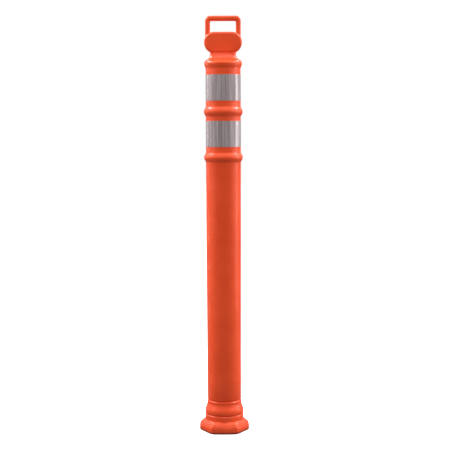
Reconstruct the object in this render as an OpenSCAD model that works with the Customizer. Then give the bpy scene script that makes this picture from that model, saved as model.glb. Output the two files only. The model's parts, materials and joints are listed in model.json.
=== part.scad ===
// Looped-handle delineator post with two reflective collars.
// Millimetres, +Z up, origin at the centre of the foot's underside, front is -Y.
// The orange post is one hollow moulding. It is drawn whole and cut once, at the top of
// the flange, so base_flange and post_shell are two sections of the same piece.

/* [Post] */
// Height from the ground to the top of the handle
total_h = 1143; // [1000:1:1300]
// Outer radius of the tube between the beads
tube_r = 47.6; // [45:0.1:48.5]
// Outer radius of the tube where it meets the foot
tube_foot_r = 46.4; // [44:0.1:47]
// Wall thickness of the moulding
wall = 3.5; // [2.5:0.1:4]

/* [Handle] */
// Width over both legs
handle_w = 97; // [92:0.5:98]
// Height of the top bar
handle_bar_h = 14.5; // [12:0.5:18]
// Width of each leg
handle_leg_w = 13.5; // [11:0.5:16]
// Front-to-back thickness
handle_t = 15; // [12:0.5:20]
// Radius of the two outer corners
handle_corner_r = 14; // [8:0.5:18]
// Height of the opening between the head and the bar
grip_h = 29.5; // [26:0.5:40]

/* [Head] */
// Width of the pill-shaped head
head_w = 103; // [98:0.5:103]
// Height of the head
head_h = 56.5; // [46:0.5:60]
// Front-to-back thickness of the head
head_t = 33; // [28:0.5:33]
// Radius of the edge round the front and back faces
head_edge_r = 6; // [6:0.5:8]

/* [Neck] */
// Bottom of the head down to the shoulder bead's widest line
neck_h = 28.5; // [28:0.5:40]
// Half width of the neck below the head
neck_r = 35.4; // [32:0.1:37]
// Front-to-back thickness at the top of the neck
neck_t = 28; // [26:0.5:31]
// Radius of the scoops that spread the neck to the round shoulder
scoop_r = 30; // [28:0.5:31]

/* [Beads] */
// Largest radius of the shoulder bead
shoulder_r = 51.5; // [50.5:0.1:53]
// Largest radius of the two lower beads
bead_r = 53; // [51:0.1:53]
// Half the height of a bead
bead_half_h = 13.2; // [10:0.1:14]
// Shoulder bead down to the middle bead, widest line to widest line
upper_bead_gap = 130.5; // [130:0.5:150]
// Middle bead down to the bottom bead, widest line to widest line
lower_bead_gap = 124.5; // [124:0.5:140]

/* [Collars] */
// Height of each reflective collar
collar_h = 70.5; // [50:0.5:76]
// Shoulder bead's widest line down to the upper collar's top edge
upper_collar_gap = 30.5; // [16:0.5:40]
// Middle bead's widest line down to the lower collar's top edge
lower_collar_gap = 25; // [16:0.5:33]
// Thickness of the white backing film with its adhesive
backing_t = 0.3; // [0.2:0.05:0.5]
// Thickness of the clear prismatic face film
face_t = 0.3; // [0.2:0.05:0.5]

/* [Foot] */
// Radius of the seat that a ballast ring slips over
seat_r = 53.2; // [53.2:0.1:56]
// Half the width of the hexagonal flange across its flats
flange_a = 62; // [61:0.5:70]
// Corner radius of the flange's outline
flange_corner_r = 18; // [8:0.5:24]
// Radius of the trimmed hole in the underside
base_hole_r = 40; // [30:1:44]

/* [Hidden] */
arc_steps = 8;
bead_steps = 8;
foot_steps = 10;
over = 1;
bead_power = 1.15;
neck_into_head = 8;
scoop_lift = -0.5;

orange = [0.86, 0.27, 0.12];
white_film = [0.92, 0.92, 0.93];
silver_film = [0.66, 0.65, 0.68];

// Heights that hang from the top of the handle
grip_top_z = total_h - handle_bar_h;
head_top_z = grip_top_z - grip_h;
head_z = head_top_z - head_h / 2;
neck_top_z = head_top_z - head_h + neck_into_head;
scoop_z = neck_top_z + scoop_lift;
shoulder_z = head_top_z - head_h - neck_h;
middle_bead_z = shoulder_z - upper_bead_gap;
bottom_bead_z = middle_bead_z - lower_bead_gap;
upper_collar_z = shoulder_z - upper_collar_gap - collar_h;
lower_collar_z = middle_bead_z - lower_collar_gap - collar_h;

// Shoulder: a convex arc above the first bead meets a concave arc up to the neck
shoulder_arc_r = 12;
neck_arc_r = 14;
shoulder_c = shoulder_r - shoulder_arc_r;
neck_c = neck_r + neck_arc_r;
neck_arc_rise = sqrt(pow(neck_arc_r + shoulder_arc_r, 2) - pow(neck_c - shoulder_c, 2));
shoulder_turn = atan2(neck_arc_rise, neck_c - shoulder_c);
neck_arc_z = shoulder_z + neck_arc_rise;

// Foot: two creases part the tube, the bulge and the seat ring above the flange
upper_crease_z = 86.6;
lower_crease_z = 47.2;
crease_depth = 1.4;
crease_over = 1.4;
crease_under = 4;
lip_r = tube_foot_r + 0.8;
ogee_top_z = 79;
ogee_foot_z = 56;
flange_top_z = 32;
rim_top_z = 15;
bell_knee_r = flange_a - 6;
bell_rim_z = 17.5;
bell_turn = 75;
flange_tip_r = flange_a / cos(30) - flange_corner_r * (1 / cos(30) - 1);

// Points on an arc, from angle a0 to angle a1
function arc(cx, cy, r, a0, a1, n) =
    [for (i = [0 : n]) let (a = a0 + (a1 - a0) * i / n) [cx + r * cos(a), cy + r * sin(a)]];

// Radius of the tapered tube below the last bead
function tube_r_at(z) =
    z > bottom_bead_z ? tube_r
    : tube_foot_r + (tube_r - tube_foot_r) * (z - upper_crease_z) / (bottom_bead_z - upper_crease_z);

// A bead's profile rises from the tube as a cosine, listed upwards
function bead(z, r, a0, a1, n) =
    [for (i = [0 : n]) let (a = a0 + (a1 - a0) * i / n, h = z + bead_half_h * a / 90)
        [tube_r_at(h) + (r - tube_r_at(h)) * pow(max(cos(a), 0), bead_power), h]];

// The foot's profile from the ground to the tube
function foot_outline() = concat(
    [[seat_r, 0], [seat_r, lower_crease_z - crease_under]],
    [[seat_r - crease_depth, lower_crease_z], [seat_r, lower_crease_z + crease_over]],
    [for (i = [0 : foot_steps]) let (t = i / foot_steps)
        [lip_r + (seat_r - lip_r) * (1 + cos(180 * t)) / 2,
         ogee_foot_z + (ogee_top_z - ogee_foot_z) * t]],
    [[lip_r, upper_crease_z - crease_under], [tube_foot_r - crease_depth, upper_crease_z]],
    [[tube_foot_r, upper_crease_z + crease_over]]
);

// The shoulder's and neck's profile above the first bead, inset by d
function neck_outline(d) = concat(
    arc(shoulder_c, shoulder_z, shoulder_arc_r - d, 0, shoulder_turn, arc_steps),
    arc(neck_c, neck_arc_z, neck_arc_r + d, shoulder_turn + 180, 180, arc_steps),
    [[neck_r - d, neck_top_z]]
);

// The whole turned profile, inset by d
function barrel_outline(d) = concat(
    [[0, d]],
    [for (p = concat(
        foot_outline(),
        bead(bottom_bead_z, bead_r, -90, 90, 2 * bead_steps),
        bead(middle_bead_z, bead_r, -90, 90, 2 * bead_steps),
        bead(shoulder_z, shoulder_r, -90, -90 / bead_steps, bead_steps - 1)
    )) [p[0] - d, max(p[1], d)]],
    neck_outline(d),
    [[0, neck_top_z]]
);

// Tube, beads, shoulder and neck, with a scoop in front and behind
module barrel(d) {
    difference() {
        rotate_extrude() polygon(barrel_outline(d));
        for (side = [-1, 1])
            translate([0, side * (neck_t / 2 + scoop_r), scoop_z])
                rotate([0, 90, 0])
                    cylinder(r = scoop_r + d, h = 2 * head_w, center = true);
    }
}

// Hexagon with its corners on +X and -X, rounded
module flange_plan(a, r) {
    reach = (a - r) / cos(30);
    polygon([for (k = [0 : 5], s = [-1, 1]) let (c = 60 * k, t = 60 * k + 30 * s)
        [reach * cos(c) + r * cos(t), reach * sin(c) + r * sin(t)]]);
    for (k = [0 : 5])
        rotate(60 * k)
            translate([reach, 0])
                circle(r = r);
}

// Domed flange with six sloping sides, inset by d
module flange(d) {
    slope = (flange_a - seat_r) / (flange_top_z - rim_top_z);
    inset_a = d * sqrt(1 + slope * slope);
    top_a = seat_r - inset_a;
    foot_a = seat_r + slope * (flange_top_z - d) - inset_a;
    intersection() {
        translate([0, 0, d])
            linear_extrude(flange_top_z - d) flange_plan(flange_a - d, flange_corner_r - d);
        rotate_extrude()
            polygon(concat(
                [[0, d], [flange_tip_r - d, d]],
                arc(bell_knee_r, bell_rim_z, flange_tip_r - bell_knee_r - d, 0, bell_turn, arc_steps),
                [[seat_r - d, flange_top_z - d], [0, flange_top_z - d]]
            ));
        translate([0, 0, d])
            cylinder(r1 = foot_a / cos(30), r2 = top_a / cos(30), h = flange_top_z - d, $fn = 6);
    }
}

// Half of the head's section across its thickness, with round edges
module head_section(r, half_t, edge) {
    translate([0, -half_t]) square([r - edge, 2 * half_t]);
    translate([0, edge - half_t]) square([r, 2 * (half_t - edge)]);
    for (side = [-1, 1])
        translate([r - edge, side * (half_t - edge)])
            circle(r = edge);
}

// Pill-shaped head: a straight block between two round ends, inset by d
module head(d) {
    r = head_h / 2 - d;
    half_t = head_t / 2 - d;
    edge = head_edge_r - d;
    reach = (head_w - head_h) / 2;
    translate([0, 0, head_z]) {
        for (side = [-1, 1])
            translate([side * reach, 0, 0])
                rotate([90, 0, 0])
                    rotate_extrude() head_section(r, half_t, edge);
        rotate([0, 90, 0])
            linear_extrude(2 * reach, center = true) {
                head_section(r, half_t, edge);
                mirror([1, 0]) head_section(r, half_t, edge);
            }
    }
}

// Bail handle: a flat loop whose legs run down into the head, inset by d
module handle(d) {
    half_w = handle_w / 2 - d;
    r = handle_corner_r - d;
    top_z = total_h - d;
    grip_half_w = handle_w / 2 - handle_leg_w + d;
    rotate([90, 0, 0])
        linear_extrude(handle_t - 2 * d, center = true)
            difference() {
                union() {
                    translate([-half_w, head_z]) square([2 * half_w, top_z - r - head_z]);
                    translate([r - half_w, head_z]) square([2 * (half_w - r), top_z - head_z]);
                    for (side = [-1, 1])
                        translate([side * (half_w - r), top_z - r])
                            circle(r = r);
                }
                translate([-grip_half_w, head_z - over])
                    square([2 * grip_half_w, grip_top_z + d - head_z + over]);
            }
}

// Outer or inner skin of the one-piece moulding
module skin(d) {
    barrel(d);
    flange(d);
    head(d);
    handle(d);
}

// One layer of a collar: a ring of film from height z up
module film(r, t, z) {
    rotate_extrude()
        translate([r, z])
            square([t, collar_h]);
}

// The one-piece orange moulding, before it is cut into its two nodes
module moulding() {
    difference() {
        skin(0);
        skin(wall);
        translate([0, 0, -over]) cylinder(r = base_hole_r, h = wall + 2 * over);
    }
}

// Everything below the top of the flange
module below_cut() {
    translate([0, 0, -over]) cylinder(r = 2 * flange_a, h = flange_top_z + over);
}

module base_flange() {
    color(orange)
        intersection() {
            moulding();
            below_cut();
        }
}

module post_shell() {
    color(orange)
        difference() {
            moulding();
            below_cut();
        }
}

module upper_collar_backing() {
    color(white_film) film(tube_r, backing_t, upper_collar_z);
}

module upper_collar_face() {
    color(silver_film) film(tube_r + backing_t, face_t, upper_collar_z);
}

module lower_collar_backing() {
    color(white_film) film(tube_r, backing_t, lower_collar_z);
}

module lower_collar_face() {
    color(silver_film) film(tube_r + backing_t, face_t, lower_collar_z);
}

base_flange();
post_shell();
upper_collar_backing();
upper_collar_face();
lower_collar_backing();
lower_collar_face();
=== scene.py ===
import json
from math import cos, pi, radians, sin, sqrt

import bmesh
import bpy
import numpy as np
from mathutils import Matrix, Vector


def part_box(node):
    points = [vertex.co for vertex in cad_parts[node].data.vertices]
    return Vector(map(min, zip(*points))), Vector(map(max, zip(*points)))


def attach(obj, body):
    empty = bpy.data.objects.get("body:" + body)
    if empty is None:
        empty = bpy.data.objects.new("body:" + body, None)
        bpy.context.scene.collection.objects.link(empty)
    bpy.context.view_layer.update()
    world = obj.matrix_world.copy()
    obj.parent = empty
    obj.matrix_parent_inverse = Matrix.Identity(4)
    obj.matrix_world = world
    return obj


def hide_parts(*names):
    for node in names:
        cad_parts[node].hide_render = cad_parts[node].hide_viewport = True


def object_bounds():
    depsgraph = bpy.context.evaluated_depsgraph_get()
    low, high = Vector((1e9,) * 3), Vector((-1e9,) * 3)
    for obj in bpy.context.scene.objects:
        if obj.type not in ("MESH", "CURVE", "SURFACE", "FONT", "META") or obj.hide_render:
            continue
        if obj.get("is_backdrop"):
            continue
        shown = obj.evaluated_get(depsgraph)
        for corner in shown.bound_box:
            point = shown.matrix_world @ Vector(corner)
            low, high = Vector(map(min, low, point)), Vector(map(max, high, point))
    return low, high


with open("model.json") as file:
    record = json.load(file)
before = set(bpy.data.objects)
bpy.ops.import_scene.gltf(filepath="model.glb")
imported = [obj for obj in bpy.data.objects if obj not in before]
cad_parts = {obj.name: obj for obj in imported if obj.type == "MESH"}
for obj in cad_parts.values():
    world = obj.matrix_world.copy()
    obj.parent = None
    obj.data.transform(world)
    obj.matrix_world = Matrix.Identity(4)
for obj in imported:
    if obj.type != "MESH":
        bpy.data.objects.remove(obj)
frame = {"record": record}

import openvdb
from mathutils import Vector

# Meshes are worked out in millimetres and stored in metres
MM = 0.001
cad_low, cad_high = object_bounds()
TOTAL_H = cad_high[2] / MM

# Driving sizes, in millimetres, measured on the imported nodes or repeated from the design
UPPER = [v[2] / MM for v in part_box("upper_collar_face")]
LOWER = [v[2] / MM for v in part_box("lower_collar_face")]
COLLAR_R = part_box("upper_collar_face")[1][0] / MM
BACKING_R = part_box("upper_collar_backing")[1][0] / MM
FILM_T = COLLAR_R - BACKING_R
TUBE_R = BACKING_R - FILM_T
TUBE_FOOT_R = 46.4
WALL = 3.5

BAR_H = 14.5
GRIP_H = 29.5
HANDLE_W = 97.0
LEG_W = 13.5
HANDLE_T = 15.0
HANDLE_CORNER_R = 14.0
HANDLE_EDGE_R = 6.0
GRIP_CORNER_R = 3.0
GRIP_EDGE_BLEND = 0.5
HANDLE_ROOT = 40.0

HEAD_W = 103.0
HEAD_H = 56.5
HEAD_T = 33.0
HEAD_EDGE_R = 6.0
HEAD_TOP_Z = TOTAL_H - BAR_H - GRIP_H
HEAD_Z = HEAD_TOP_Z - HEAD_H / 2

NECK_R = 35.4
NECK_T = 28.0
NECK_INTO_HEAD = 8.0
NECK_TOP_Z = HEAD_TOP_Z - HEAD_H + NECK_INTO_HEAD
SCOOP_R = 30.0
SCOOP_LIFT = -0.5
SCOOP_Z = NECK_TOP_Z + SCOOP_LIFT
SCOOP_BLEND = 7.0
HANDLE_FILLET = 2.4
NECK_FILLET = 1.6

UPPER_COLLAR_GAP = 30.5
LOWER_COLLAR_GAP = 25.0
LOWER_BEAD_GAP = 124.5
SHOULDER_Z = UPPER[1] + UPPER_COLLAR_GAP
MIDDLE_Z = LOWER[1] + LOWER_COLLAR_GAP
BOTTOM_Z = MIDDLE_Z - LOWER_BEAD_GAP
SHOULDER_R = 51.5
BEAD_R = 53.0
BEAD_HALF_H = 13.2
BEAD_POWER = 1.15
SHOULDER_ARC_R = 12.0
NECK_ARC_R = 14.0

SEAT_R = 53.2
FLANGE_A = 62.0
FLANGE_CORNER_R = 18.0
FLANGE_TOP_Z = 32.0
FLAT_TOP_Z = 29.5
FLAT_RIM_Z = 10.0
FLAT_CROWN = 0.8
BELL_RIM_Z = 17.5
BELL_TURN = radians(75)
BELL_KNEE_R = FLANGE_A - 6
FLANGE_RING_PITCH = 4.4
FLANGE_RING_DEPTH = 0.4
FLANGE_RING_PHASE = 0.25
FLANGE_CORNER_BLEND = 7.0
FLANGE_PROUD = 0.5
BOTTOM_EDGE_R = 3.0
FLANGE_TIP_R = FLANGE_A / cos(radians(30)) - FLANGE_CORNER_R * (1 / cos(radians(30)) - 1)
BASE_HOLE_R = 40.0
UPPER_CREASE_Z = 86.6
LOWER_CREASE_Z = 47.2
CREASE_DEPTH = 2.3
LIP_DROP = 4.0
LIP_H = 0.7
LIP_W = 1.1
LIP_SHARE = 0.3
OGEE_TOP_Z = 79.0
OGEE_FOOT_Z = 56.0
LIP_R = TUBE_FOOT_R + 0.8

# The turned part of the mesh meets the organic top here, hidden by the upper collar
SEAM_DROP = 5.5
SEAM_Z = UPPER[1] - SEAM_DROP
SEAM_GAP = 1.5
COLUMNS = 216
PARTING_RIDGE_H = 0.28
PARTING_RIDGE_W = 0.45
PARTING_FADE = 8
BEAD_ZONE = 14
OUTER_VOXEL = 1.25
INNER_VOXEL = 3.0
# The trimmed hole's softened edge: how far outside the hole, and how far in from the wall's face
HOLE_EDGE = ((0.8, 0.0), (0.2, 0.25), (0.0, 0.9))
# Angle from the middle of the back to each end of a film, in radians, and how deep the film ripples
FILM_END_ANGLE = 0.006
FILM_RIPPLE = 0.05


def smoothstep(a, b, x):
    t = np.clip((x - a) / (b - a), 0, 1)
    return t * t * (3 - 2 * t)


def smooth_min(a, b, k):
    h = np.maximum(k - np.abs(a - b), 0) / k
    return np.minimum(a, b) - h * h * k / 4


def smooth_max(a, b, k):
    return -smooth_min(-a, -b, k)


# ---------------------------------------------------------------- turned outline


def bead(z, centre, r):
    """How far a bead stands out of the tube at height z."""
    t = np.clip((z - centre) / BEAD_HALF_H, -1, 1)
    return (r - TUBE_R) * np.maximum(np.cos(t * pi / 2), 0) ** BEAD_POWER


def crease(z, centre, depth, above, below):
    """A moulded groove, with its own width above and below its line."""
    d = z - centre
    width = np.where(d > 0, above, below)
    return depth * np.exp(-(d / width) ** 2)


def lip(z, centre):
    """The fine raised line that the mould leaves under a crease."""
    return LIP_H * np.exp(-((z - centre) / LIP_W) ** 2)


def tube_radius(z):
    """Outer radius of the tube, beads and foot, without the flange."""
    t = np.clip((z - UPPER_CREASE_Z) / (BOTTOM_Z - BEAD_HALF_H - UPPER_CREASE_Z), 0, 1)
    tube = TUBE_FOOT_R + (TUBE_R - TUBE_FOOT_R) * t
    t = np.clip((z - OGEE_FOOT_Z) / (OGEE_TOP_Z - OGEE_FOOT_Z), 0, 1)
    bulge = LIP_R + (SEAT_R - LIP_R) * (1 + np.cos(pi * t)) / 2
    r = np.where(z > UPPER_CREASE_Z, tube, bulge)
    r = r + bead(z, BOTTOM_Z, BEAD_R) + bead(z, MIDDLE_Z, BEAD_R) + bead(z, SHOULDER_Z, SHOULDER_R)
    r = r - crease(z, UPPER_CREASE_Z, CREASE_DEPTH, above=1.9, below=1.1)
    r = r + lip(z, UPPER_CREASE_Z - LIP_DROP) * LIP_SHARE
    return r - crease(z, LOWER_CREASE_Z, CREASE_DEPTH, above=2.6, below=1.7)


def bell_radius(z):
    """The flange's outline through a corner: a slope that turns down into the rim."""
    rim = FLANGE_TIP_R - BELL_KNEE_R
    turn_r = BELL_KNEE_R + rim * cos(BELL_TURN)
    turn_z = BELL_RIM_Z + rim * sin(BELL_TURN)
    lift = np.clip((z - BELL_RIM_Z) / rim, 0, 1)
    arc = BELL_KNEE_R + rim * np.sqrt(1 - lift ** 2)
    slope = SEAT_R + (turn_r - SEAT_R) * (FLANGE_TOP_Z - z) / (FLANGE_TOP_Z - turn_z)
    return np.where(z > turn_z, slope, arc)


def flat_apothem(z):
    """Half the width across the six flats, a convex slope from the seat ring to the rim."""
    drop = np.clip((FLAT_TOP_Z - z) / (FLAT_TOP_Z - FLAT_RIM_Z), 0, 1)
    return SEAT_R + (FLANGE_A - SEAT_R) * np.sin(drop * pi / 2) ** FLAT_CROWN


def flange_radius(angle, z):
    """The flange: a bell cut by six flats, corners on +X and -X, with fine rings moulded in it."""
    off_flat = (angle % (pi / 3)) - pi / 6
    flat = flat_apothem(z) / np.cos(off_flat)
    flange = smooth_min(bell_radius(z), flat, FLANGE_CORNER_BLEND) + FLANGE_PROUD
    local_top = FLAT_TOP_Z + (FLANGE_TOP_Z - FLAT_TOP_Z) * (1 + np.cos(6 * angle)) / 2
    drop = local_top - z
    slope = smoothstep(0.5, 2.5, drop) * (1 - smoothstep(11.0, 14.0, drop))
    turns = drop / FLANGE_RING_PITCH + FLANGE_RING_PHASE
    flange = flange - slope * FLANGE_RING_DEPTH * np.cos(2 * pi * turns)
    return np.clip(flange, SEAT_R, np.minimum(FLANGE_TIP_R, FLANGE_A / np.cos(off_flat)))


def outer_radius(angle, z):
    """Outer radius of everything below the seam, for an angle and a height."""
    below = np.maximum(BOTTOM_EDGE_R - z, 0)
    rounding = BOTTOM_EDGE_R - np.sqrt(np.maximum(BOTTOM_EDGE_R ** 2 - below ** 2, 0))
    return np.where(z < FLANGE_TOP_Z, flange_radius(angle, z) - rounding, tube_radius(z))


def inner_radius(angle, z):
    """Inner radius of the wall, softer than the outside as blow moulding leaves it."""
    soft = sum(outer_radius(angle, np.maximum(z + s, 4.5)) for s in (-2.0, 0.0, 2.0)) / 3
    return np.minimum(soft, outer_radius(angle, z)) - WALL


# ---------------------------------------------------------------- organic top


def neck_points():
    """The shoulder's and neck's outline from below the seam up, as the design draws it."""
    below_seam = 12
    bead_points = 60
    arc_points = 14
    shoulder_c = SHOULDER_R - SHOULDER_ARC_R
    neck_c = NECK_R + NECK_ARC_R
    rise = sqrt((NECK_ARC_R + SHOULDER_ARC_R) ** 2 - (neck_c - shoulder_c) ** 2)
    turn = np.arctan2(rise, neck_c - shoulder_c)
    z = np.linspace(SEAM_Z - below_seam, SHOULDER_Z, bead_points)
    points = list(zip(TUBE_R + bead(z, SHOULDER_Z, SHOULDER_R), z))
    for a in np.linspace(0, turn, arc_points)[1:]:
        points.append((shoulder_c + SHOULDER_ARC_R * cos(a), SHOULDER_Z + SHOULDER_ARC_R * sin(a)))
    for a in np.linspace(turn + pi, pi, arc_points)[1:]:
        points.append((neck_c + NECK_ARC_R * cos(a), SHOULDER_Z + rise + NECK_ARC_R * sin(a)))
    points.append((NECK_R, HEAD_Z))
    return np.array(points)


NECK_POINTS = neck_points()


def turned_distance(x, y, z):
    """Signed distance to the shoulder and neck, open below the seam."""
    r = np.sqrt(x * x + y * y)
    best = np.full(r.shape, 1e9)
    for (r0, z0), (r1, z1) in zip(NECK_POINTS[:-1], NECK_POINTS[1:]):
        dr, dz = r1 - r0, z1 - z0
        t = np.clip(((r - r0) * dr + (z - z0) * dz) / (dr * dr + dz * dz), 0, 1)
        best = np.minimum(best, (r - r0 - t * dr) ** 2 + (z - z0 - t * dz) ** 2)
    edge = np.interp(z, NECK_POINTS[:, 1], NECK_POINTS[:, 0])
    side = np.sqrt(best) * np.where(r > edge, 1, -1)
    return np.maximum(side, z - HEAD_Z)


def neck_distance(x, y, z):
    """The neck, flattened by one scoop in front and one behind."""
    scoop = SCOOP_R - np.sqrt((np.abs(y) - NECK_T / 2 - SCOOP_R) ** 2 + (z - SCOOP_Z) ** 2)
    upper = np.maximum(scoop, np.where(z > SCOOP_Z, np.abs(y) - NECK_T / 2, -1e9))
    return smooth_max(turned_distance(x, y, z), upper, SCOOP_BLEND)


def extruded(flat, y, half_t, edge):
    """A flat outline given thickness along Y, with round edges."""
    a = flat + edge
    b = np.abs(y) - half_t + edge
    outside = np.sqrt(np.maximum(a, 0) ** 2 + np.maximum(b, 0) ** 2)
    return np.minimum(np.maximum(a, b), 0) + outside - edge


def head_distance(x, y, z):
    reach = (HEAD_W - HEAD_H) / 2
    flat = np.sqrt(np.maximum(np.abs(x) - reach, 0) ** 2 + (z - HEAD_Z) ** 2) - HEAD_H / 2
    return extruded(flat, y, HEAD_T / 2, HEAD_EDGE_R)


def rounded_box(x, z, half_w, low, high, r):
    a = np.abs(x) - half_w + r
    b = np.abs(z - (low + high) / 2) - (high - low) / 2 + r
    return np.minimum(np.maximum(a, b), 0) + np.sqrt(np.maximum(a, 0) ** 2 + np.maximum(b, 0) ** 2) - r


def handle_distance(x, y, z):
    """The loop over the head, cut off inside the head."""
    low = HEAD_Z - HANDLE_ROOT
    outer = rounded_box(x, z, HANDLE_W / 2, low, TOTAL_H, HANDLE_CORNER_R)
    hole = rounded_box(x, z, HANDLE_W / 2 - LEG_W, low, TOTAL_H - BAR_H, GRIP_CORNER_R)
    flat = np.maximum(smooth_max(outer, -hole, GRIP_EDGE_BLEND), HEAD_Z - z)
    return extruded(flat, y, HANDLE_T / 2, HANDLE_EDGE_R)


def top_distance(x, y, z):
    top = smooth_min(head_distance(x, y, z), handle_distance(x, y, z), HANDLE_FILLET)
    return smooth_min(top, neck_distance(x, y, z), NECK_FILLET)


def surface_of(distance, voxel, inset):
    """Quads on the surface that lies inset below a distance field, from just below the seam up."""
    reach, below, above = 62.0, 8.0, 6.0
    background = 20.0
    low = np.array([-reach, -reach, SEAM_Z - below])
    high = np.array([reach, reach, TOTAL_H + above])
    count = np.ceil((high - low) / voxel).astype(int)
    axes = [low[i] + voxel * np.arange(count[i]) for i in range(3)]
    x, y, z = np.meshgrid(*axes, indexing="ij")
    field = (distance(x, y, z) + inset).astype(np.float32)
    grid = openvdb.FloatGrid(background)
    grid.copyFromArray(np.ascontiguousarray(field))
    points, quads = grid.convertToQuads(0.0)
    points = np.array(points, dtype=float) * voxel + low
    for _ in range(3):
        step = 0.05
        here = distance(*points.T) + inset
        slope = np.stack([
            (distance(*(points + step * axis).T) - distance(*(points - step * axis).T)) / (2 * step)
            for axis in np.eye(3)
        ], axis=1)
        length = np.maximum((slope ** 2).sum(1), 0.2)
        move = slope * (here / length)[:, None]
        size = np.linalg.norm(move, axis=1, keepdims=True)
        points -= move * np.minimum(1, voxel / 2 / np.maximum(size, 1e-9))
    return points, np.array(quads)


# ---------------------------------------------------------------- moulding mesh


def column_angles():
    """Even columns, with extra ones that hold the parting line on +X and -X."""
    even = [2 * pi * i / COLUMNS for i in range(COLUMNS)]
    extra = [side + a for side in (0.0, pi) for a in (-0.014, -0.007, 0.007, 0.014)]
    return np.array(sorted(a % (2 * pi) for a in even + extra))


ANGLES = column_angles()


def parting_line(z):
    """Height of the parting line's ridge for each column."""
    ridge = PARTING_RIDGE_H * np.exp(-(np.sin(ANGLES) * TUBE_R / PARTING_RIDGE_W) ** 2)
    return ridge * smoothstep(FLANGE_TOP_Z, FLANGE_TOP_Z + PARTING_FADE, z)


def spread(steps):
    """Heights for a list of stretches, each given by its ends and its number of rings."""
    heights = [np.linspace(a, b, n, endpoint=False) for a, b, n in steps]
    return np.concatenate(heights + [[steps[-1][1]]])


def outer_heights():
    """Where the outer rings lie: close together where the outline turns."""
    steps = [
        (0.0, 5.0, 9), (5.0, 15.0, 7), (15.0, 32.0, 44), (32.0, 34.4, 6), (34.4, 43.0, 4),
        (43.0, 50.0, 22), (50.0, 56.0, 4), (56.0, 80.0, 18), (80.0, 90.0, 28),
        (90.0, BOTTOM_Z - BEAD_ZONE, 12), (BOTTOM_Z - BEAD_ZONE, BOTTOM_Z + BEAD_ZONE, 26),
        (BOTTOM_Z + BEAD_ZONE, MIDDLE_Z - BEAD_ZONE, 6), (MIDDLE_Z - BEAD_ZONE, MIDDLE_Z + BEAD_ZONE, 26),
        (MIDDLE_Z + BEAD_ZONE, SEAM_Z - SEAM_GAP, 6),
    ]
    return spread(steps)


def inner_heights():
    steps = [
        (WALL, 34.0, 12), (34.0, 90.0, 18), (90.0, BOTTOM_Z - BEAD_ZONE, 6),
        (BOTTOM_Z - BEAD_ZONE, BOTTOM_Z + BEAD_ZONE, 12), (BOTTOM_Z + BEAD_ZONE, MIDDLE_Z - BEAD_ZONE, 4),
        (MIDDLE_Z - BEAD_ZONE, MIDDLE_Z + BEAD_ZONE, 12), (MIDDLE_Z + BEAD_ZONE, SEAM_Z - SEAM_GAP, 4),
    ]
    return spread(steps)


def add_ring(mesh, radius, z):
    x, y = radius * np.cos(ANGLES), radius * np.sin(ANGLES)
    return [mesh.verts.new((x[i] * MM, y[i] * MM, z * MM)) for i in range(len(ANGLES))]


def join_rings(mesh, a, b):
    """Faces between two rings, facing out when b is above a."""
    n = len(a)
    for i in range(n):
        j = (i + 1) % n
        mesh.faces.new((a[i], a[j], b[j], b[i]))


def add_top(mesh, voxel, inset, flip, ring):
    """The surface above the seam, sewn to the last ring below it."""
    points, quads = surface_of(top_distance, voxel, inset)
    part = bmesh.new()
    verts = [part.verts.new(p * MM) for p in points]
    for q in quads:
        if len(set(q)) == 4:
            corners = [verts[i] for i in (reversed(q) if flip else q)]
            part.faces.new(corners)
    geometry = part.verts[:] + part.edges[:] + part.faces[:]
    bmesh.ops.bisect_plane(
        part, geom=geometry, dist=1e-7, plane_co=(0, 0, SEAM_Z * MM), plane_no=(0, 0, 1), clear_inner=True
    )
    bmesh.ops.remove_doubles(part, verts=part.verts[:], dist=voxel * 0.12 * MM)
    known = {}
    for v in part.verts:
        known[v] = mesh.verts.new(v.co)
    for f in part.faces:
        mesh.faces.new([known[v] for v in f.verts])
    rim = [known[v] for v in part.verts if any(e.is_boundary for e in v.link_edges)]
    part.free()
    sew(mesh, ring, sorted(rim, key=lambda v: np.arctan2(v.co.y, v.co.x) % (2 * pi)), flip)


def sew(mesh, low, high, flip):
    """Triangles between two rings of different counts, matched by angle."""
    def turn(v):
        return float(np.arctan2(v.co.y, v.co.x) % (2 * pi))

    low_a = [turn(v) for v in low] + [2 * pi + turn(low[0])]
    high_a = [turn(v) for v in high] + [2 * pi + turn(high[0])]
    i = j = 0
    while i < len(low) or j < len(high):
        a, b = low[i % len(low)], high[j % len(high)]
        if j >= len(high) or (i < len(low) and low_a[i + 1] <= high_a[j + 1]):
            i += 1
            corners = (a, low[i % len(low)], b)
        else:
            j += 1
            corners = (a, high[j % len(high)], b)
        mesh.faces.new(reversed(corners) if flip else corners)


def object_from(mesh, name):
    data = bpy.data.meshes.new(name)
    mesh.to_mesh(data)
    mesh.free()
    data.shade_smooth()
    data.set_sharp_from_angle(angle=radians(50))
    obj = bpy.data.objects.new(name, data)
    bpy.context.scene.collection.objects.link(obj)
    return obj


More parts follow.
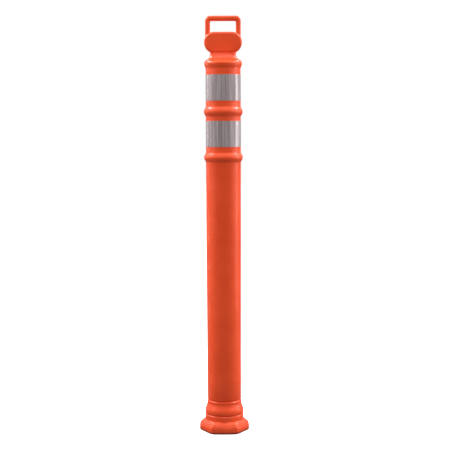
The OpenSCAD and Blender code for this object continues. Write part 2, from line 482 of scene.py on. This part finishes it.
def make_moulding():
    mesh = bmesh.new()
    outer = [
        add_ring(mesh, outer_radius(ANGLES, z) + parting_line(z), z) for z in outer_heights()
    ]
    for a, b in zip(outer[:-1], outer[1:]):
        join_rings(mesh, a, b)
    inner = [add_ring(mesh, inner_radius(ANGLES, z), z) for z in inner_heights()]
    for a, b in zip(inner[:-1], inner[1:]):
        join_rings(mesh, b, a)
    edge = outer_radius(ANGLES, 0.0)
    below = [outer[0]]
    for t in (0.3, 0.6, 0.85):
        below.append(add_ring(mesh, edge + (BASE_HOLE_R + HOLE_EDGE[0][0] - edge) * t, 0.0))
    below += [add_ring(mesh, BASE_HOLE_R + s, z) for s, z in HOLE_EDGE]
    below += [add_ring(mesh, BASE_HOLE_R + s, WALL - z) for s, z in reversed(HOLE_EDGE)]
    floor_edge = inner_radius(ANGLES, WALL)
    below.append(add_ring(mesh, (floor_edge + BASE_HOLE_R) / 2, WALL))
    below.append(inner[0])
    for a, b in zip(below[:-1], below[1:]):
        join_rings(mesh, b, a)
    add_top(mesh, OUTER_VOXEL, 0.0, False, outer[-1])
    add_top(mesh, INNER_VOXEL, WALL, True, inner[-1])
    return object_from(mesh, "post_moulding")


# ---------------------------------------------------------------- collars


def make_film(name, low, high, r_in, r_out, end_angle):
    """A strip of film wrapped once round the tube. Its two ends stop just short of each other at the back."""
    mesh = bmesh.new()
    columns = 180
    start, end = pi / 2 + end_angle, pi / 2 + 2 * pi - end_angle
    rows = np.linspace(low, high, 9)
    sections = []
    for i in range(columns + 1):
        a = start + (end - start) * i / columns
        ripple = FILM_RIPPLE * 0.5 * (1 + sin(9 * a) * sin(4 * a + 1.0))
        column = []
        for r in (r_in, r_out - ripple):
            column.append([mesh.verts.new((r * cos(a) * MM, r * sin(a) * MM, z * MM)) for z in rows])
        sections.append(column)
    last = len(rows) - 1
    for (in_a, out_a), (in_b, out_b) in zip(sections[:-1], sections[1:]):
        for k in range(last):
            mesh.faces.new((out_a[k], out_b[k], out_b[k + 1], out_a[k + 1]))
            mesh.faces.new((in_a[k], in_a[k + 1], in_b[k + 1], in_b[k]))
        mesh.faces.new((in_a[0], in_b[0], out_b[0], out_a[0]))
        mesh.faces.new((in_a[last], out_a[last], out_b[last], in_b[last]))
    for section, facing in ((sections[0], False), (sections[-1], True)):
        inside, outside = section
        for k in range(last):
            corners = (inside[k], outside[k], outside[k + 1], inside[k + 1])
            mesh.faces.new(tuple(reversed(corners)) if facing else corners)
    return object_from(mesh, name)


# ---------------------------------------------------------------- materials


class Nodes:
    """Short calls for a node tree."""

    def __init__(self, name):
        self.material = bpy.data.materials.new(name)
        self.material.use_nodes = True
        self.tree = self.material.node_tree
        self.shader = self.tree.nodes["Principled BSDF"]
        coords = self.tree.nodes.new("ShaderNodeTexCoord")
        self.place = coords.outputs["Object"]

    def link(self, value, socket):
        if isinstance(value, bpy.types.NodeSocket):
            self.tree.links.new(value, socket)
        else:
            socket.default_value = value

    def math(self, operation, a, b=0.0, c=0.0):
        node = self.tree.nodes.new("ShaderNodeMath")
        node.operation = operation
        for value, socket in zip((a, b, c), node.inputs):
            self.link(value, socket)
        return node.outputs[0]

    def split(self, vector):
        node = self.tree.nodes.new("ShaderNodeSeparateXYZ")
        self.link(vector, node.inputs[0])
        return node.outputs

    def stretched(self, x, y, z):
        node = self.tree.nodes.new("ShaderNodeMapping")
        self.link(self.place, node.inputs["Vector"])
        node.inputs["Scale"].default_value = (x, y, z)
        return node.outputs[0]

    def noise(self, scale, detail=3.0, roughness=0.5, vector=None):
        node = self.tree.nodes.new("ShaderNodeTexNoise")
        self.link(vector or self.place, node.inputs["Vector"])
        node.inputs["Scale"].default_value = scale
        node.inputs["Detail"].default_value = detail
        node.inputs["Roughness"].default_value = roughness
        return node.outputs[0]

    def remap(self, value, a, b, low, high):
        node = self.tree.nodes.new("ShaderNodeMapRange")
        node.interpolation_type = "SMOOTHSTEP"
        for v, socket in zip((value, a, b, low, high), node.inputs):
            self.link(v, socket)
        return node.outputs[0]

    def mix(self, factor, a, b):
        node = self.tree.nodes.new("ShaderNodeMix")
        node.data_type = "RGBA"
        self.link(factor, node.inputs[0])
        self.link(a, node.inputs[6])
        self.link(b, node.inputs[7])
        return node.outputs[2]

    def bump(self, height, distance, before=None):
        node = self.tree.nodes.new("ShaderNodeBump")
        node.inputs["Distance"].default_value = distance
        node.inputs["Strength"].default_value = 1.0
        self.link(height, node.inputs["Height"])
        if before:
            self.link(before, node.inputs["Normal"])
        return node.outputs[0]

    def set(self, **sockets):
        for name, value in sockets.items():
            self.link(value, self.shader.inputs[name.replace("_", " ")])


def orange_plastic():
    """Satin fluorescent-orange polyethylene, grained by the mould and scuffed on its crests."""
    n = Nodes("orange_plastic")
    x, y, z = n.split(n.place)
    radius = n.math("SQRT", n.math("ADD", n.math("MULTIPLY", x, x), n.math("MULTIPLY", y, y)))
    mottle = n.remap(n.noise(14.0, 4.0), 0.3, 0.7, 0.0, 1.0)
    colour = n.mix(mottle, (0.86, 0.073, 0.013, 1), (0.94, 0.090, 0.020, 1))
    crest = n.remap(radius, 50.4 * MM, 53.0 * MM, 0.0, 1.0)
    scuffs = n.remap(n.noise(190.0, 5.0, 0.65, n.stretched(1.0, 1.0, 0.35)), 0.54, 0.70, 0.0, 1.0)
    wear = n.math("MULTIPLY", crest, scuffs)
    colour = n.mix(n.math("MULTIPLY", wear, 0.35), colour, (0.86, 0.15, 0.06, 1))
    low = n.remap(z, 0.0, 95 * MM, 1.0, 0.0)
    soil = n.remap(n.noise(70.0, 5.0, 0.6), 0.45, 0.75, 0.0, 1.0)
    colour = n.mix(n.math("MULTIPLY", n.math("MULTIPLY", low, soil), 0.22), colour, (0.22, 0.045, 0.02, 1))
    # Painted shade: the lowest few millimetres are darkened strongly towards the bottom edge, standing in for
    # the shadow under the flange's rim where it meets the floor.
    painted_bottom_shade = n.remap(z, 3.0 * MM, 8.5 * MM, 0.85, 0.0)
    colour = n.mix(painted_bottom_shade, colour, (0.20, 0.030, 0.014, 1))
    rough = n.remap(n.noise(42.0, 4.0), 0.3, 0.7, 0.28, 0.40)
    rough = n.math("ADD", rough, n.math("MULTIPLY", wear, 0.16))
    die_lines = n.noise(1.0, 4.0, 0.6, n.stretched(320.0, 320.0, 3.0))
    normal = n.bump(die_lines, 0.00016)
    normal = n.bump(n.noise(850.0, 3.0, 0.6), 0.00007, normal)
    normal = n.bump(n.noise(60.0, 2.0), 0.00030, normal)
    normal = n.bump(wear, -0.00008, normal)
    on_plane = n.remap(n.math("ABSOLUTE", y), 0.0, 0.0008, 1.0, 0.0)
    on_top = n.remap(z, 1.0, 1.03, 0.0, 1.0)
    seam = n.math("MULTIPLY", on_plane, on_top)
    normal = n.bump(seam, 0.00022, normal)
    n.set(Base_Color=colour, Roughness=rough, Normal=normal)
    n.shader.inputs["IOR"].default_value = 1.51
    n.shader.inputs["Specular IOR Level"].default_value = 0.5
    return n.material


def prismatic_film():
    """Silver-white prismatic sheeting: sealed diamond cells under a clear glossy face."""
    n = Nodes("prismatic_film")
    x, y, z = n.split(n.place)
    cells = 68
    cell_h = 2 * pi * COLLAR_R * MM / cells
    around = n.math("MULTIPLY", n.math("ARCTAN2", y, x), cells / (2 * pi))
    along = n.math("MULTIPLY", z, 1 / cell_h)
    lines = None
    for sign in ("ADD", "SUBTRACT"):
        place = n.math("FRACT", n.math(sign, n.math("ADD", around, 200.0), along))
        line = n.remap(n.math("ABSOLUTE", n.math("SUBTRACT", place, 0.5)), 0.40, 0.47, 0.0, 1.0)
        lines = line if lines is None else n.math("MAXIMUM", lines, line)
    streaks = n.noise(1.0, 4.0, 0.65, n.stretched(260.0, 260.0, 4.0))
    tone = n.remap(streaks, 0.35, 0.68, 0.0, 1.0)
    colour = n.mix(tone, (0.29, 0.215, 0.225, 1), (0.60, 0.505, 0.52, 1))
    colour = n.mix(n.math("MULTIPLY", lines, 0.35), colour, (0.62, 0.58, 0.59, 1))
    rough = n.remap(n.noise(55.0, 4.0), 0.3, 0.7, 0.30, 0.44)
    rough = n.math("ADD", rough, n.math("MULTIPLY", lines, 0.12))
    metal = n.math("SUBTRACT", 0.40, n.math("MULTIPLY", lines, 0.25))
    normal = n.bump(streaks, 0.00034)
    normal = n.bump(lines, 0.00004, normal)
    normal = n.bump(n.noise(35.0, 2.0, 0.5, n.stretched(1.0, 1.0, 0.4)), 0.0004, normal)
    n.set(Base_Color=colour, Roughness=rough, Metallic=metal, Normal=normal)
    n.shader.inputs["Coat Weight"].default_value = 1.0
    n.shader.inputs["Coat Roughness"].default_value = 0.07
    return n.material


def backing_film():
    """Matt white backing film, seen as a thin edge line round each collar."""
    n = Nodes("backing_film")
    tone = n.remap(n.noise(120.0, 4.0), 0.3, 0.7, 0.0, 1.0)
    n.set(
        Base_Color=n.mix(tone, (0.78, 0.77, 0.77, 1), (0.88, 0.88, 0.88, 1)),
        Roughness=n.remap(n.noise(240.0, 3.0), 0.3, 0.7, 0.50, 0.68),
        Normal=n.bump(n.noise(700.0, 3.0), 0.00004),
    )
    return n.material


def give(piece, material, slot_name, *nodes):
    piece.data.materials.append(material)
    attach(piece, "root")
    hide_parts(*nodes)


ORANGE_NODES = [n["node"] for n in frame["record"]["subparts"] if n["material_slot"] == "orange_plastic"]
give(make_moulding(), orange_plastic(), "orange_plastic", *ORANGE_NODES)

silver = prismatic_film()
white = backing_film()
for place, (low, high) in (("upper", UPPER), ("lower", LOWER)):
    backing = make_film(place + "_backing_strip", low, high, TUBE_R, BACKING_R, FILM_END_ANGLE)
    give(backing, white, "backing_film", place + "_collar_backing")
    face = make_film(place + "_face_strip", low, high, BACKING_R, COLLAR_R, FILM_END_ANGLE)
    give(face, silver, "prismatic_film", place + "_collar_face")


# ---------------------------------------------------------------- stage, light and camera


SKY_TOP = 0.85
SKY_SIDE = 0.30
SKY_BACK = 0.25
SKY_FRONT = 0.20
FLOOR_BOUNCE = 0.11
FLOOR_GLOW = 0.60
FLOOR_HALF_W = 14.0
FLOOR_DROP = 0.0002
LIGHT_TARGET = (0, 0, 0.62)
LIGHT_COLOUR = (1.0, 0.995, 0.99)
LENS = 92.4
TILT_DOWN = 4.85
ROLL = -0.23


def make_floor():
    """A pale floor that the camera sees as near white and that bounces a softer light."""
    mesh = bmesh.new()
    half = FLOOR_HALF_W
    corners = [(-half, -half), (half, -half), (half, half), (-half, half)]
    mesh.faces.new([mesh.verts.new((x, y, -FLOOR_DROP)) for x, y in corners])
    floor = object_from(mesh, "floor")
    material = bpy.data.materials.new("pale_floor")
    material.use_nodes = True
    tree = material.node_tree
    shader = tree.nodes["Principled BSDF"]
    shader.inputs["Base Color"].default_value = (0.96, 0.96, 0.96, 1)
    shader.inputs["Roughness"].default_value = 0.9
    shader.inputs["Emission Color"].default_value = (1, 1, 1, 1)
    shader.inputs["Emission Strength"].default_value = FLOOR_GLOW
    dim = tree.nodes.new("ShaderNodeBsdfDiffuse")
    dim.inputs["Color"].default_value = (FLOOR_BOUNCE, FLOOR_BOUNCE, FLOOR_BOUNCE, 1)
    path = tree.nodes.new("ShaderNodeLightPath")
    mix = tree.nodes.new("ShaderNodeMixShader")
    tree.links.new(path.outputs["Is Camera Ray"], mix.inputs[0])
    tree.links.new(dim.outputs[0], mix.inputs[1])
    tree.links.new(shader.outputs[0], mix.inputs[2])
    tree.links.new(mix.outputs[0], tree.nodes["Material Output"].inputs["Surface"])
    floor.data.materials.append(material)
    floor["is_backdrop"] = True


def add_light(name, place, target, width, height, power, colour, reflects):
    data = bpy.data.lights.new(name, "AREA")
    data.shape = "RECTANGLE"
    data.size = width
    data.size_y = height
    data.energy = power
    data.color = colour
    light = bpy.data.objects.new(name, data)
    light.location = place
    light.visible_glossy = reflects
    direction = Vector(target) - Vector(place)
    light.rotation_euler = direction.to_track_quat("-Z", "Y").to_euler()
    bpy.context.scene.collection.objects.link(light)


def make_world():
    """White where the camera looks. It lights from above and the sides, and little from the front."""
    world = bpy.data.worlds.new("studio")
    world.use_nodes = True
    bpy.context.scene.world = world
    tree = world.node_tree
    tree.nodes.clear()

    def math(operation, a, b):
        node = tree.nodes.new("ShaderNodeMath")
        node.operation = operation
        for value, socket in zip((a, b), node.inputs):
            if isinstance(value, bpy.types.NodeSocket):
                tree.links.new(value, socket)
            else:
                socket.default_value = value
        return node.outputs[0]

    coords = tree.nodes.new("ShaderNodeTexCoord")
    axes = tree.nodes.new("ShaderNodeSeparateXYZ")
    tree.links.new(coords.outputs["Generated"], axes.inputs[0])
    x, y, z = axes.outputs
    above = math("MULTIPLY", math("MAXIMUM", z, 0.0), SKY_TOP)
    beside = math("MULTIPLY", math("MULTIPLY", x, x), SKY_SIDE)
    behind = math("MULTIPLY", math("MAXIMUM", y, 0.0), SKY_BACK)
    glow = math("ADD", math("ADD", above, beside), math("ADD", behind, SKY_FRONT))
    lit = tree.nodes.new("ShaderNodeBackground")
    tree.links.new(glow, lit.inputs["Strength"])
    seen = tree.nodes.new("ShaderNodeBackground")
    seen.inputs["Color"].default_value = (1, 1, 1, 1)
    path = tree.nodes.new("ShaderNodeLightPath")
    mix = tree.nodes.new("ShaderNodeMixShader")
    tree.links.new(path.outputs["Is Camera Ray"], mix.inputs[0])
    tree.links.new(lit.outputs[0], mix.inputs[1])
    tree.links.new(seen.outputs[0], mix.inputs[2])
    output = tree.nodes.new("ShaderNodeOutputWorld")
    tree.links.new(mix.outputs[0], output.inputs["Surface"])


def make_camera():
    """A long lens a little above the middle, looking slightly down at the post."""
    height = TOTAL_H * MM
    data = bpy.data.cameras.new("camera")
    data.sensor_width = 36.0
    data.lens = LENS
    camera = bpy.data.objects.new("camera", data)
    camera.location = (0.0031 * height, -2.775 * height, 0.7366 * height)
    camera.rotation_mode = "XYZ"
    camera.rotation_euler = (radians(90 - TILT_DOWN), 0, 0)
    camera.rotation_euler.rotate_axis("Z", radians(ROLL))
    bpy.context.scene.collection.objects.link(camera)
    bpy.context.scene.camera = camera


make_floor()
make_world()
LIGHTS = {
    # name: place, width, height, power, and whether it shows in reflections
    "right_strip": ((2.18, 0.31, 0.90), 0.10, 1.8, 8.5, True),
    "left_strip": ((-1.87, 1.17, 0.90), 0.06, 1.8, 3.2, True),
    "right_softbox": ((2.15, -0.55, 1.15), 1.2, 1.5, 22.0, False),
    "left_softbox": ((-2.15, -0.55, 1.15), 1.2, 1.5, 24.0, False),
    "upper_right": ((1.9, 0.90, 2.80), 0.7, 0.7, 58.0, True),
    "upper_left": ((-1.9, 0.90, 2.80), 0.7, 0.7, 62.0, True),
    "top": ((0.0, -0.55, 2.90), 1.4, 1.4, 28.0, False),
}
for name, (place, width, height, power, reflects) in LIGHTS.items():
    add_light(name, place, LIGHT_TARGET, width, height, power, LIGHT_COLOUR, reflects)
make_camera()

bpy.context.scene.view_settings.view_transform = "Standard"

low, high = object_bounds()
